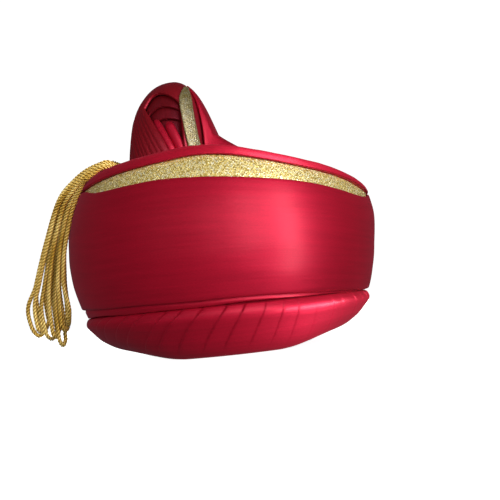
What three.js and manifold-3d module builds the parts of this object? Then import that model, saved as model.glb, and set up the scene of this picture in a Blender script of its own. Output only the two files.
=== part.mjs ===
// A tied turban of red satin: a smooth outer band over a pleated base, a gold lace border and a rolled
// edge at the front shoulder, a cloth crown with a hooded crest, and a tassel of gold cords at one side.
// Millimetres, +Z up. The front faces -Y. Angles round the turban run from the front towards +X.

import * as THREE from "three";
import { mergeVertices } from "three/addons/utils/BufferGeometryUtils.js";
import Module from "manifold-3d";

const wasm = await Module();
wasm.setup();

// Driving dimensions of the drum
const HALF_WIDTH = 125; // of the band at its widest
const HALF_DEPTH = 130;
const BELLY_Z = 84; // height of the widest level
const BARREL_ARC = 118; // radius of the bulging side in section
const BAND_WALL = 2;
const SEAT_GAP = 0.45; // between pieces that rest on each other

// The turned fold below the band
const FOLD_BOTTOM = 37;
const FOLD_SHOWN = 3.7;
const FOLD_SLANT = 3;
const FOLD_TUCK = 8;
const FOLD_WALL = 1.2;

// The pleated base and its head opening
const RIM_HALF_WIDTH = 79;
const RIM_HALF_DEPTH = 96;
const RIM_WALL = 3.2;
const RIM_SIDE_RISE = 8; // the rim arches up over the ears
const RIM_FLAT_DEG = 25; // each side of the front and the back, the rim lies flat
const BASE_TUCK = 11; // how far the base runs up behind the band
const BASE_PLEATS = 40;
const BASE_BULGE = 3.8; // how far the base swells out below the fold
const PLEAT_RELIEF = 1.4;
const PLEAT_SLANT_DEG = 26; // how far a pleat leans round the base on its way up
const PLEAT_FOCUS_DEG = 28; // the pleats lean towards this angle

// The gold border and the rolled edge
const GOLD_WALL = 1;
const GOLD_TUCK = 4;
const GOLD_FROM_DEG = -62;
const GOLD_TO_DEG = 84;
const ROLL_SIZE = 7.6;
const ROLL_SWELL = 1.4; // the roll is thicker at the wearer's right
const ROLL_PROUD = 0.3;
// The roll's section: depth behind the drum's surface and height above its foot, as shares of its size
const ROLL_SECTION = [
  { depth: 0.06, height: 0 },
  { depth: 0, height: 0.28 },
  { depth: 0.05, height: 0.62 },
  { depth: 0.22, height: 0.9 },
  { depth: 0.52, height: 1 },
  { depth: 0.86, height: 0.84 },
  { depth: 1, height: 0.45 },
  { depth: 0.84, height: 0.06 },
];

// Heights round the drum of the band's upper edge and of the roll's underside. The gold border shows
// between them, and where they meet the roll rides on the band.
const UPPER_EDGES = [
  { deg: -180, band: 123.5, roll: 123.5 },
  { deg: -130, band: 128, roll: 128 },
  { deg: -95, band: 131.5, roll: 131.5 },
  { deg: -70, band: 134.5, roll: 134.8 },
  { deg: -62, band: 134, roll: 136.4 },
  { deg: -55, band: 130.8, roll: 137.8 },
  { deg: -46, band: 129.2, roll: 139.5 },
  { deg: -34, band: 129.3, roll: 141.2 },
  { deg: -20, band: 129.6, roll: 142.9 },
  { deg: -7, band: 128, roll: 144.5 },
  { deg: 5, band: 125.7, roll: 142.6 },
  { deg: 16, band: 123, roll: 138.2 },
  { deg: 26, band: 120.6, roll: 133.8 },
  { deg: 38, band: 117, roll: 128.9 },
  { deg: 49, band: 113, roll: 125 },
  { deg: 58, band: 110, roll: 121.3 },
  { deg: 68, band: 109.2, roll: 117.2 },
  { deg: 77, band: 111.8, roll: 115.4 },
  { deg: 85, band: 114.6, roll: 115 },
  { deg: 105, band: 115.5, roll: 115.5 },
  { deg: 140, band: 118.5, roll: 118.5 },
  { deg: 180, band: 123.5, roll: 123.5 },
];

// The crown: folds, and the flank that it sends up one side of the crest
const CROWN_WALL = 2;
const COLLAR_TUCK = 12;
const CROWN_BEND = 5;
const CROWN_FOLDS = 18;
const CROWN_FOLD_RELIEF = 1.6;
const SKIRT_Z = 146; // where the crown meets the crest on its low side
const SKIRT_EDGE = 4; // and how far its edge stands up there
const FLANK_FOOT_RISE = 26;
const FLANK_EDGE_RISE = 38;
const FLANK_FLARE = 5;
const FLANK_TIP_FLARE = 2;
const FLANK_FROM_DEG = 46; // round the crest, where the flank begins and is full
const FLANK_FULL_DEG = 70;
const FLANK_WANE_DEG = 120;
const FLANK_TO_DEG = 190;

// The crest's dome
const CREST_X = -31;
const CREST_Y = -25;
const CREST_LEFT = 36;
const CREST_RIGHT = 32;
const CREST_HALF_DEPTH = 31;
const CREST_FOOT_Z = 136;
const CREST_TOP_Z = 219;
const CREST_POWER = 2.6; // squareness of the dome
const CREST_RIGHT_POWER = 2.2; // and on the flank's side
const CREST_LEAN = 5; // how far the top leans to one side
const CREST_WALL = 2.5;
const CREST_PLEAT_RELIEF = 1.3;
const CREST_PLEATS_FROM_DEG = -160;
const CREST_PLEATS_TO_DEG = -36;

// The hood and the inner folds: breadth and height against the hood, and the arch cut in the front of
// each, as its left edge at the foot and at the top, its right edge, its foot and its top
const CREST_LAYERS = {
  hood: { scale: 1, rise: 1, footLeft: -30, left: -51, right: -20.5, foot: 152, top: 208.5 },
  outerFold: { scale: 0.89, rise: 0.945, footLeft: -32, left: -49, right: -18, foot: 160, top: 197 },
  innerFold: { scale: 0.8, rise: 0.9, footLeft: -33, left: -46, right: -18, foot: 164, top: 187 },
  core: { scale: 0.74, rise: 0.8 },
};
const CREST_ROWS = [0, 0.3, 0.52, 0.7, 0.84, 0.93, 0.985]; // shares of the dome's height
const FINGER_FOOT_Z = 146;
const FINGER_GAP = 1.2; // under the hood
const FINGER_SINK = 2; // how far a finger's tip sinks back
const CREST_FINGERS = [
  { topX: -42, topZ: 187, footX: -27, radius: 3.5 },
  { topX: -32, topZ: 184, footX: -20.5, radius: 4.2 },
];

// The gold strip beside the crest's opening, from its foot to its pointed top
const CREST_STRIP = [
  { z: 158, x: -13, width: 9.5 },
  { z: 167, x: -14.5, width: 9.5 },
  { z: 190, x: -16.8, width: 9.5 },
  { z: 202, x: -17.2, width: 9 },
  { z: 212, x: -16.2, width: 3 },
];
const CREST_STRIP_ROWS = 10;

// The tassel: its head, the lines of its inner and outer locks from the head down, and its locks,
// each with its place between those lines, its shift to front or back and how far down it ends
const TASSEL_HEAD = { x: -73, y: -48, z: 149.5, radius: 5 };
const LOCK_RADIUS = 2.5;
const LOCK_SIDES = 6;
const LOCK_STEPS = 9;
const TASSEL_ROUTE = [
  { inX: -73, inZ: 149, outX: -73, outZ: 150, y: -48, spread: 4 },
  { inX: -84, inZ: 151, outX: -81, outZ: 156, y: -46, spread: 10 },
  { inX: -96, inZ: 150, outX: -96, outZ: 155, y: -42, spread: 12 },
  { inX: -106.6, inZ: 146.2, outX: -110, outZ: 147.6, y: -37, spread: 12 },
  { inX: -115.2, inZ: 133, outX: -124, outZ: 134, y: -32, spread: 11 },
  { inX: -124.8, inZ: 103, outX: -138, outZ: 103, y: -27, spread: 10 },
  { inX: -127, inZ: 70, outX: -151, outZ: 69, y: -24, spread: 10 },
  { inX: -126.5, inZ: 48, outX: -157.5, outZ: 50, y: -22, spread: 10 },
  { inX: -127.5, inZ: 22, outX: -153.5, outZ: 24, y: -21, spread: 10 },
];
const TASSEL_LOCKS = [
  { place: 0, side: -0.4, end: 0.96 },
  { place: 0.2, side: 0.5, end: 1 },
  { place: 0.4, side: -0.6, end: 1 },
  { place: 0.6, side: 0.4, end: 0.98 },
  { place: 0.8, side: -0.5, end: 0.96 },
  { place: 1, side: 0.3, end: 0.95 },
];

const SATIN = { color: 0xa5102b, roughness: 0.38, metalness: 0 };
const SATIN_DARK = { color: 0x8c0d24, roughness: 0.42, metalness: 0 };
const GOLD_LACE = { color: 0xc9a84c, roughness: 0.35, metalness: 0.8 };
const GOLD_CORD = { color: 0xb8862b, roughness: 0.4, metalness: 0.7 };

const RAD = Math.PI / 180;
const TURN = 2 * Math.PI;
const mix = THREE.MathUtils.lerp;
const smooth = THREE.MathUtils.smoothstep;

// The value of a table's column at a place along another, on a smooth curve through its rows
function readTable(table, along, column, place) {
  const last = table.length - 1;
  const next = table.findIndex((row) => row[along] > place);
  if (next === 0) return table[0][column];
  if (next < 0) return table[last][column];
  const row = (k) => table[THREE.MathUtils.clamp(k, 0, last)];
  const slope = (k) => (row(k + 1)[column] - row(k - 1)[column]) / (row(k + 1)[along] - row(k - 1)[along]);
  const [from, to] = [row(next - 1), row(next)];
  const span = to[along] - from[along];
  const t = (place - from[along]) / span;
  const ease = t * t * (3 - 2 * t);
  const leave = t * (1 - t) ** 2 * span * slope(next - 1);
  const arrive = t * t * (1 - t) * span * slope(next);
  return mix(from[column], to[column], ease) + leave - arrive;
}

// A geometry from points and triangles, turned so that its faces point out
function closedGeometry(points, triangles) {
  const volume = triangles.reduce((sum, [a, b, c]) => {
    const normal = new THREE.Vector3().crossVectors(points[b], points[c]);
    return sum + normal.dot(points[a]);
  }, 0);
  const order = volume < 0 ? triangles.map(([a, b, c]) => [a, c, b]) : triangles;
  const geometry = new THREE.BufferGeometry().setFromPoints(points);
  geometry.setIndex(order.flat());
  geometry.computeVertexNormals();
  return geometry;
}

// A cloth wall between two grids of points, [row][column]. A ring joins its last column to its first,
// and a dome closes its last row on one point for each grid.
function wall(outer, inner, { ring = true, tips = null } = {}) {
  const rows = outer.length;
  const columns = outer[0].length;
  const points = [...outer.flat(), ...inner.flat(), ...(tips ?? [])];
  const triangles = [];
  const at = (side, row, column) => (side * rows + row) * columns + (column % columns);
  const quad = (a, b, c, d) => triangles.push([a, b, c], [a, c, d]);
  const top = rows - 1;
  for (let c = 0; c < (ring ? columns : columns - 1); c++) {
    for (let r = 0; r < top; r++) {
      quad(at(0, r, c), at(0, r, c + 1), at(0, r + 1, c + 1), at(0, r + 1, c));
      quad(at(1, r, c), at(1, r + 1, c), at(1, r + 1, c + 1), at(1, r, c + 1));
    }
    quad(at(1, 0, c), at(1, 0, c + 1), at(0, 0, c + 1), at(0, 0, c));
    if (tips) {
      const tip = 2 * rows * columns;
      triangles.push([at(0, top, c), at(0, top, c + 1), tip]);
      triangles.push([at(1, top, c + 1), at(1, top, c), tip + 1]);
    } else {
      quad(at(0, top, c), at(0, top, c + 1), at(1, top, c + 1), at(1, top, c));
    }
  }
  if (!ring) {
    const end = columns - 1;
    for (let r = 0; r < top; r++) {
      quad(at(0, r, 0), at(0, r + 1, 0), at(1, r + 1, 0), at(1, r, 0));
      quad(at(0, r, end), at(1, r, end), at(1, r + 1, end), at(0, r + 1, end));
    }
  }
  return closedGeometry(points, triangles);
}

// A grid of points from a function of a row's and a column's value
function grid(rows, columns, point) {
  return rows.map((row) => columns.map((column) => point(row, column)));
}

// The same grid moved inwards by a wall's thickness, square to its surface
function insetGrid(outer, thickness) {
  const rows = outer.length;
  const columns = outer[0].length;
  return outer.map((line, r) =>
    line.map((p, c) => {
      const round = line[(c + 1) % columns].clone().sub(line[(c + columns - 1) % columns]);
      const up = outer[Math.min(r + 1, rows - 1)][c].clone().sub(outer[Math.max(r - 1, 0)][c]);
      return p.clone().addScaledVector(round.cross(up).normalize(), -thickness);
    }),
  );
}

function evenly(count, from, to) {
  return Array.from({ length: count }, (_, i) => mix(from, to, i / (count - 1)));
}

function ringAngles(count) {
  return Array.from({ length: count }, (_, i) => (TURN * i) / count);
}

// A point on the drum's barrel surface, or inside it
function drumPoint(angle, z, inset) {
  const bulge = (z - BELLY_Z) ** 2 / (2 * BARREL_ARC) + inset;
  return new THREE.Vector3(
    (HALF_WIDTH - bulge) * Math.sin(angle),
    -(HALF_DEPTH - bulge) * Math.cos(angle),
    z,
  );
}

const signedDeg = (angle) => THREE.MathUtils.euclideanModulo(angle / RAD + 180, 360) - 180;
const bandTop = (angle) => readTable(UPPER_EDGES, "deg", "band", signedDeg(angle));
const rollFoot = (angle) => readTable(UPPER_EDGES, "deg", "roll", signedDeg(angle));
const bandBottom = (angle) => FOLD_BOTTOM + FOLD_SHOWN - FOLD_SLANT * Math.sin(angle);

const GOLD_INSET = BAND_WALL + SEAT_GAP;
const COLLAR_INSET = GOLD_INSET + GOLD_WALL + SEAT_GAP;
const FOLD_INSET = BAND_WALL + SEAT_GAP;
const BASE_INSET = FOLD_INSET + FOLD_WALL + SEAT_GAP + PLEAT_RELIEF;

// The wide band, a barrel wall from its lower to its upper edge
function outerBand() {
  const heights = evenly(7, 0, 1);
  const angles = ringAngles(60);
  const side = (inset) =>
    grid(heights, angles, (t, a) => drumPoint(a, mix(bandBottom(a), bandTop(a), t), inset));
  return wall(side(0), side(BAND_WALL));
}

// The turned fold, tucked up behind the band
function bandFold() {
  const angles = ringAngles(60);
  const side = (inset) =>
    grid([0, 1], angles, (t, a) =>
      drumPoint(a, mix(FOLD_BOTTOM, bandBottom(a) + FOLD_TUCK, t), inset),
    );
  return wall(side(FOLD_INSET), side(FOLD_INSET + FOLD_WALL));
}

// Height of the base's rim: flat at the front and back, arched over the ears
function rimZ(angle) {
  const flat = Math.sin(RIM_FLAT_DEG * RAD);
  return RIM_SIDE_RISE * smooth(Math.abs(Math.sin(angle)), flat, 1);
}

// A point on the base, with t 0 at the rim, 1 at the fold and more behind the band
function basePoint(angle, t, outward) {
  if (t > 1) return drumPoint(angle, FOLD_BOTTOM + BASE_TUCK * (t - 1), BASE_INSET - outward);
  const edge = drumPoint(0, FOLD_BOTTOM, BASE_INSET);
  const flare = Math.sqrt(1 - (1 - t) ** 2);
  const swell = BASE_BULGE * Math.sin(Math.PI * t ** 2.2) + outward;
  const halfDepth = mix(RIM_HALF_DEPTH, -edge.y, flare) + swell;
  const halfWidth = mix(RIM_HALF_WIDTH, -edge.y - HALF_DEPTH + HALF_WIDTH, flare) + swell;
  const z = mix(rimZ(angle), FOLD_BOTTOM, t);
  return new THREE.Vector3(halfWidth * Math.sin(angle), -halfDepth * Math.cos(angle), z);
}

// The pleated base: knife pleats that step out and ramp back, leaning on their way up
function pleatedBase() {
  const heights = [0, 0.08, 0.3, 0.62, 0.88, 1, 2];
  const pleatSteps = [
    { share: 0, lift: 0 },
    { share: 0.15, lift: 1 },
  ];
  const folds = Array.from({ length: BASE_PLEATS }, (_, i) => i);
  const columns = folds.flatMap((i) =>
    pleatSteps.map(({ share, lift }) => ({ angle: (TURN * (i + share)) / BASE_PLEATS, lift })),
  );
  const leaning = (angle, t) =>
    angle + PLEAT_SLANT_DEG * RAD * Math.sin(PLEAT_FOCUS_DEG * RAD - angle) * (Math.min(t, 1) - 0.5);
  const outer = grid(heights, columns, (t, { angle, lift }) =>
    basePoint(leaning(angle, t), t, PLEAT_RELIEF * lift * smooth(t, 0.02, 0.25)),
  );
  const inner = grid(heights, columns, (t, { angle }) => basePoint(leaning(angle, t), t, -RIM_WALL));
  return wall(outer, inner);
}

// The gold border, a crescent between the band's upper edge and the roll
function goldStrip() {
  const side = (inset) =>
    grid([0, 0.5, 1], evenly(31, GOLD_FROM_DEG * RAD, GOLD_TO_DEG * RAD), (t, a) =>
      drumPoint(a, mix(bandTop(a) - GOLD_TUCK, rollFoot(a), t), inset),
    );
  return wall(side(GOLD_INSET), side(GOLD_INSET + GOLD_WALL), { ring: false });
}

// The rolled edge: a fold that rides on the band, flush with it, and on the gold border where it shows
function rimRoll() {
  const rings = ringAngles(60).map((angle) => {
    const size = ROLL_SIZE - ROLL_SWELL * Math.sin(angle);
    const foot = rollFoot(angle) + SEAT_GAP;
    return ROLL_SECTION.map(({ depth, height }) =>
      drumPoint(angle, foot + size * height, size * depth - ROLL_PROUD),
    );
  });
  return ringTube(rings);
}

// A closed tube through a ring of sections
function ringTube(sections) {
  const sides = sections[0].length;
  const triangles = [];
  const at = (ring, side) => (ring % sections.length) * sides + (side % sides);
  for (let i = 0; i < sections.length; i++) {
    for (let k = 0; k < sides; k++) {
      triangles.push([at(i, k), at(i + 1, k), at(i + 1, k + 1)]);
      triangles.push([at(i, k), at(i + 1, k + 1), at(i, k + 1)]);
    }
  }
  return closedGeometry(sections.flat(), triangles);
}

// Half-breadth of the crest's dome at a height, against its foot
function crestShare(z, power = CREST_POWER) {
  const h = THREE.MathUtils.clamp((z - CREST_FOOT_Z) / (CREST_TOP_Z - CREST_FOOT_Z), 0, 1);
  return (1 - h ** power) ** (1 / power);
}

// Half-width of the crest's dome at a height, to one side of its axis
function crestHalfWidth(z, toRight) {
  return toRight ? CREST_RIGHT * crestShare(z, CREST_RIGHT_POWER) : CREST_LEFT * crestShare(z);
}

// How far the crest leans over at a height
function crestLean(z) {
  return CREST_LEAN * ((z - CREST_FOOT_Z) / (CREST_TOP_Z - CREST_FOOT_Z)) ** 2;
}

// A point on the crest's dome, moved out from its axis by a little
function crestPoint(angle, z, outward) {
  const halfWidth = crestHalfWidth(z, Math.sin(angle) >= 0);
  return new THREE.Vector3(
    CREST_X + crestLean(z) + (halfWidth + outward) * Math.sin(angle),
    CREST_Y - (CREST_HALF_DEPTH * crestShare(z) + outward) * Math.cos(angle),
    z,
  );
}

// The angle round the crest of a place on its front
function crestAngle(x, z) {
  const aside = x - CREST_X - crestLean(z);
  return Math.asin(aside / crestHalfWidth(z, aside >= 0));
}

// How much of the crown's flank stands at an angle round the crest, from 0 to 1
function flankShare(angle) {
  const deg = angle / RAD;
  return smooth(deg, FLANK_FROM_DEG, FLANK_FULL_DEG) * (1 - smooth(deg, FLANK_WANE_DEG, FLANK_TO_DEG));
}

// The crown: a collar behind the gold border, a bend under the roll, a top with soft radial folds that
// slopes up to the crest, and an edge that stands against the crest, high on the flank
function crown() {
  const columns = ringAngles(3 * CROWN_FOLDS).map((angle, i) => ({ angle, i, ridge: i % 3 === 1 ? 1 : 0 }));
  const collarTop = (a) => rollFoot(a) - SEAT_GAP;
  const bendRows = [
    { fall: CROWN_BEND, inset: COLLAR_INSET },
    { fall: 0.3 * CROWN_BEND, inset: COLLAR_INSET + 0.3 * CROWN_BEND },
    { fall: 0, inset: COLLAR_INSET + CROWN_BEND },
  ];
  const collar = columns.map(({ angle }) => drumPoint(angle, bandTop(angle) - COLLAR_TUCK, COLLAR_INSET));
  const bend = grid(bendRows, columns, ({ fall, inset }, { angle }) =>
    drumPoint(angle, collarTop(angle) - fall, inset),
  );
  const edgePoint = (angle, up) => {
    const flank = flankShare(angle);
    const foot = SKIRT_Z + FLANK_FOOT_RISE * flank;
    const z = foot + (SKIRT_EDGE + FLANK_EDGE_RISE * flank) * up;
    const away = SEAT_GAP + CROWN_WALL + CREST_PLEAT_RELIEF * (1 - flank);
    const flare = FLANK_FLARE * flank * (1 - up) ** 2 + FLANK_TIP_FLARE * flank * up ** 4;
    return crestPoint(angle, z, away + flare);
  };
  const top = grid([0.25, 0.55, 0.85], columns, (t, { angle, i, ridge }) => {
    const from = bend[bend.length - 1][i];
    const foot = edgePoint(angle, 0);
    const p = from.clone().lerp(foot, t);
    p.z = mix(from.z, foot.z, 0.7 * t + 0.3 * t ** 3);
    p.z += CROWN_FOLD_RELIEF * ridge * Math.sin(Math.PI * t);
    return p;
  });
  const edge = grid([0, 0.5, 1], columns, (up, { angle }) => edgePoint(angle, up));
  const outer = [collar, ...bend, ...top, ...edge];
  return wall(outer, insetGrid(outer, CROWN_WALL));
}

// The hood as a cloth wall: a dome with accordion pleats down one side
function hoodDome() {
  const columns = ringAngles(40).map((angle, i) => {
    const deg = signedDeg(angle);
    const inPleats = deg > CREST_PLEATS_FROM_DEG && deg < CREST_PLEATS_TO_DEG;
    return { angle, lift: inPleats && i % 2 ? CREST_PLEAT_RELIEF : 0 };
  });
  const levels = CREST_ROWS.map((h) => mix(CREST_FOOT_Z, CREST_TOP_Z, h));
  const outer = grid(levels, columns, (z, { angle, lift }) => crestPoint(angle, z, lift));
  const inner = grid(levels, columns, (z, { angle }) => {
    const p = crestPoint(angle, z, 0);
    const axis = new THREE.Vector3(CREST_X + crestLean(z), CREST_Y, mix(CREST_FOOT_Z, z, 0.6));
    return p.addScaledVector(axis.sub(p).normalize(), CREST_WALL);
  });
  inner[0].forEach((p) => (p.z = CREST_FOOT_Z));
  const tip = (drop) => new THREE.Vector3(CREST_X + CREST_LEAN, CREST_Y, CREST_TOP_Z - drop);
  return wall(outer, inner, { tips: [tip(0), tip(CREST_WALL)] });
}

// A gathered mass of cloth inside the hood: a solid dome of a share of its breadth and height
function gatheredDome({ scale, rise }) {
  const tall = (CREST_TOP_Z - CREST_FOOT_Z) * rise;
  const profile = CREST_ROWS.map((h) => {
    const share = crestShare(mix(CREST_FOOT_Z, CREST_TOP_Z, h));
    return new THREE.Vector2(share * scale, CREST_FOOT_Z + tall * h);
  });
  const foot = new THREE.Vector2(0, CREST_FOOT_Z);
  const tip = new THREE.Vector2(0, CREST_FOOT_Z + tall);
  const geometry = new THREE.LatheGeometry([foot, ...profile, tip], 24);
  geometry.rotateX(Math.PI / 2);
  geometry.scale(1, CREST_HALF_DEPTH, 1);
  const { position } = geometry.attributes;
  for (let i = 0; i < position.count; i++) {
    const [x, z] = [position.getX(i), position.getZ(i)];
    const hoodZ = CREST_FOOT_Z + (z - CREST_FOOT_Z) / rise;
    const share = Math.max(crestShare(hoodZ), 1e-6);
    position.setX(i, (x * crestHalfWidth(hoodZ, x >= 0)) / share + crestLean(z));
  }
  geometry.translate(CREST_X, CREST_Y, 0);
  return geometry;
}

// A cutter for an arched opening through the front of the crest
function archCutter({ footLeft, left, right, foot, top }) {
  const shape = new THREE.Shape();
  const spring = mix(foot, top, 0.8);
  shape.moveTo(footLeft, foot);
  shape.lineTo(right, foot);
  shape.lineTo(right, spring);
  shape.quadraticCurveTo(right - 2, top - 4, mix(left, right, 0.4), top);
  shape.quadraticCurveTo(left + 3, top, left, spring);
  shape.closePath();
  const reach = CREST_HALF_DEPTH + 20;
  const geometry = new THREE.ExtrudeGeometry(shape, { depth: reach, bevelEnabled: false, curveSegments: 5 });
  geometry.rotateX(Math.PI / 2);
  geometry.translate(0, CREST_Y - 6, 0);
  return geometry;
}

// A solid for joining and cutting
function solid(geometry) {
  const bare = geometry.clone();
  bare.deleteAttribute("normal");
  bare.deleteAttribute("uv");
  const merged = mergeVertices(bare, 1e-4);
  const mesh = new wasm.Mesh({
    numProp: 3,
    vertProperties: new Float32Array(merged.attributes.position.array),
    triVerts: new Uint32Array(merged.index.array),
  });
  return new wasm.Manifold(mesh);
}

function geometryOf(manifold) {
  const mesh = manifold.getMesh();
  const geometry = new THREE.BufferGeometry();
  geometry.setAttribute("position", new THREE.BufferAttribute(mesh.vertProperties, 3));
  geometry.setIndex(new THREE.BufferAttribute(mesh.triVerts, 1));
  geometry.computeVertexNormals();
  return geometry;
}

function crestHood() {
  return geometryOf(solid(hoodDome()).subtract(solid(archCutter(CREST_LAYERS.hood))));
}

// A round bar along a curve, its section a polygon
function bar(path, radius, sides, steps) {
  const section = new THREE.Shape(
    ringAngles(sides).map((a) => new THREE.Vector2(radius * Math.cos(a), radius * Math.sin(a))),
  );
  const curve = new THREE.CatmullRomCurve3(path);
  return new THREE.ExtrudeGeometry(section, { steps, bevelEnabled: false, extrudePath: curve });
}

// The inner folds: nested layers, each with an arch cut in its front, over a core, and two rounded
// fingers of cloth that lean across the arches
function crestFolds() {
  const { outerFold, innerFold, core } = CREST_LAYERS;
  const layers = [outerFold, innerFold].map((layer) =>
    solid(gatheredDome(layer)).subtract(solid(archCutter(layer))),
  );
  const fingers = CREST_FINGERS.map(({ topX, topZ, footX, radius }) => {
    const path = [0, 0.35, 0.7, 1].map((t) => {
      const z = mix(FINGER_FOOT_Z, topZ, t);
      const x = mix(footX, topX, t);
      const front = CREST_HALF_DEPTH * crestShare(z) * Math.cos(crestAngle(x, z));
      const under = CREST_WALL + FINGER_GAP + radius + FINGER_SINK * t * t;
      return new THREE.Vector3(x, CREST_Y - front + under, z);
    });
    return solid(bar(path, radius, 8, 5));
  });
  const start = solid(gatheredDome(core));
  return geometryOf([...layers, ...fingers].reduce((sum, piece) => sum.add(piece), start));
}

// The gold strip on the crest's front, which follows the dome
function crestGoldStrip() {
  const heights = evenly(CREST_STRIP_ROWS, CREST_STRIP[0].z, CREST_STRIP[CREST_STRIP.length - 1].z);
  const side = (outward) =>
    grid(heights, [-0.5, -0.17, 0.17, 0.5], (z, across) => {
      const x = readTable(CREST_STRIP, "z", "x", z) + across * readTable(CREST_STRIP, "z", "width", z);
      return crestPoint(crestAngle(x, z), z, outward);
    });
  return wall(side(SEAT_GAP + GOLD_WALL), side(SEAT_GAP), { ring: false });
}

// The tassel: locks of cords fused to one head
function tassel() {
  const head = new THREE.SphereGeometry(TASSEL_HEAD.radius, 10, 6);
  head.scale(1.5, 1.2, 0.8);
  head.translate(TASSEL_HEAD.x, TASSEL_HEAD.y, TASSEL_HEAD.z);
  const locks = TASSEL_LOCKS.map(({ place, side, end }) => {
    const path = TASSEL_ROUTE.map(
      ({ inX, inZ, outX, outZ, y, spread }) =>
        new THREE.Vector3(mix(inX, outX, place), y + spread * side, mix(inZ, outZ, place)),
    );
    const route = new THREE.CatmullRomCurve3(path);
    const drawn = evenly(LOCK_STEPS + 1, 0, end).map((t) => route.getPointAt(t));
    return solid(bar(drawn, LOCK_RADIUS, LOCK_SIDES, LOCK_STEPS));
  });
  return geometryOf(locks.reduce((sum, lock) => sum.add(lock), solid(head)));
}

function piece(name, geometry, finish) {
  const mesh = new THREE.Mesh(geometry, new THREE.MeshStandardMaterial(finish));
  mesh.name = name;
  return mesh;
}

const crest = new THREE.Group();
crest.add(
  piece("crest_hood", crestHood(), SATIN),
  piece("crest_folds", crestFolds(), SATIN_DARK),
  piece("crest_gold_strip", crestGoldStrip(), GOLD_LACE),
);

const turban = new THREE.Group();
turban.add(
  piece("pleated_base", pleatedBase(), SATIN),
  piece("band_fold", bandFold(), SATIN_DARK),
  piece("outer_band", outerBand(), SATIN),
  piece("gold_strip", goldStrip(), GOLD_LACE),
  piece("rim_roll", rimRoll(), SATIN),
  piece("crown", crown(), SATIN),
  crest,
  piece("tassel", tassel(), GOLD_CORD),
);

// The origin is the bottom centre of the whole part's box
const box = new THREE.Box3().setFromObject(turban);
const middle = box.getCenter(new THREE.Vector3());
turban.position.set(-middle.x, -middle.y, -box.min.z);

const part = new THREE.Group();
part.add(turban);

export default part;
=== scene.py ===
"""Looks of a ready-tied turban: red satin in pleats and folds, gold lace and a tassel of twisted cords.

Shapes are worked out in millimetres about the drum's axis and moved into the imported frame, in metres. The
front faces -Y, and angles round the drum run from the front towards +X.
"""

import math

import bpy
import numpy as np
from mathutils import Matrix, Vector


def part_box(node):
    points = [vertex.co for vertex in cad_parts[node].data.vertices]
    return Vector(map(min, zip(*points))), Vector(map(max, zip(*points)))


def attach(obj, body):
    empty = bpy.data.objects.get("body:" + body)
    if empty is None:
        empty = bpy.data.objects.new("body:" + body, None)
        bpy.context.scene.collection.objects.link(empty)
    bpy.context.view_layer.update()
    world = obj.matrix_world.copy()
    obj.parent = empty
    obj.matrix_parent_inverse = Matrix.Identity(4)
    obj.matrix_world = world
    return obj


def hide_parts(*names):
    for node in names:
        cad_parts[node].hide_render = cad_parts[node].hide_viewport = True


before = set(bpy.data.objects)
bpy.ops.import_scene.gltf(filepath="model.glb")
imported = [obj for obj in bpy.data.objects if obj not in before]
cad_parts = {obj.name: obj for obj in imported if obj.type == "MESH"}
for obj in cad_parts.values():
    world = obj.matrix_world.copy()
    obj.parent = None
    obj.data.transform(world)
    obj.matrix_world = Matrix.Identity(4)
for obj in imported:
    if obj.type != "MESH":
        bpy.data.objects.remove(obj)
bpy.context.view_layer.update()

MM = 0.001
TAU = 2 * math.pi
band_low, band_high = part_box("outer_band")
AXIS = np.array([(band_low.x + band_high.x) / 2, (band_low.y + band_high.y) / 2, 0.0])

# Drum
HALF_WIDTH, HALF_DEPTH = 125, 130
BELLY_Z, BARREL_ARC = 84, 118
FOLD_BOTTOM, FOLD_SHOWN, FOLD_SLANT, FOLD_TUCK, FOLD_PROUD = 37, 3.7, 3, 8, 0.9
# Heights of the long and the short waves in a hem
HEM_LONG, HEM_SHORT = 0.35, 0.25
# The right shoulder stands out a little, up to the roll
SHOULDER_SWELL, SHOULDER_DEG, SHOULDER_SPREAD = 3.2, 88, 52
SHOULDER_FROM_Z, SHOULDER_FULL_Z = 72, 104
GAP = 0.45
BAND_WALL, FOLD_WALL, GOLD_WALL, CROWN_WALL = 2, 1.2, 1, 2
FOLD_INSET = GOLD_INSET = BAND_WALL + GAP
COLLAR_INSET = GOLD_INSET + GOLD_WALL + GAP

# Slight creases as waves: height, turns along the surface's two coordinates, phase
BAND_WAVES = [
    (0.07, 3, 0.10, 0.3),
    (0.06, -5, 0.17, 1.9),
    (0.05, 8, 0.26, 4.0),
    (0.05, -2, 0.34, 2.2),
    (0.04, 13, 0.12, 5.1),
]
ROLL_WAVES = [
    (0.13, 7, 1, 0.4),
    (0.12, 12, -1, 2.0),
    (0.1, 19, 2, 1.1),
    (0.07, 33, 1, 0.2),
    (0.05, 47, -2, 3.0),
]

# Heights round the drum of the band's upper edge and the roll's underside: degrees, band, roll
UPPER_EDGES = np.array([
    (-180, 123.5, 123.5), (-130, 128, 128), (-95, 131.5, 131.5), (-70, 134.5, 134.8), (-62, 134, 136.4),
    (-55, 130.8, 137.8), (-46, 129.2, 139.5), (-34, 129.3, 141.2), (-20, 129.6, 142.9), (-7, 128, 144.5),
    (5, 125.7, 142.6), (16, 123, 138.2), (26, 120.6, 133.8), (38, 117, 128.9), (49, 113, 125),
    (58, 110, 121.3), (68, 109.2, 117.2), (77, 111.8, 115.4), (85, 114.6, 115), (105, 115.5, 115.5),
    (140, 118.5, 118.5), (180, 123.5, 123.5),
])

# Base
RIM_HALF_WIDTH, RIM_HALF_DEPTH, RIM_WALL = 79, 96, 3.2
RIM_SIDE_RISE, RIM_FLAT_DEG = 8, 25
BASE_TUCK, BASE_BULGE, BASE_SHOULDER = 11, 3.8, 2.2
BASE_INSET = FOLD_INSET + FOLD_WALL + GAP + 1
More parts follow.
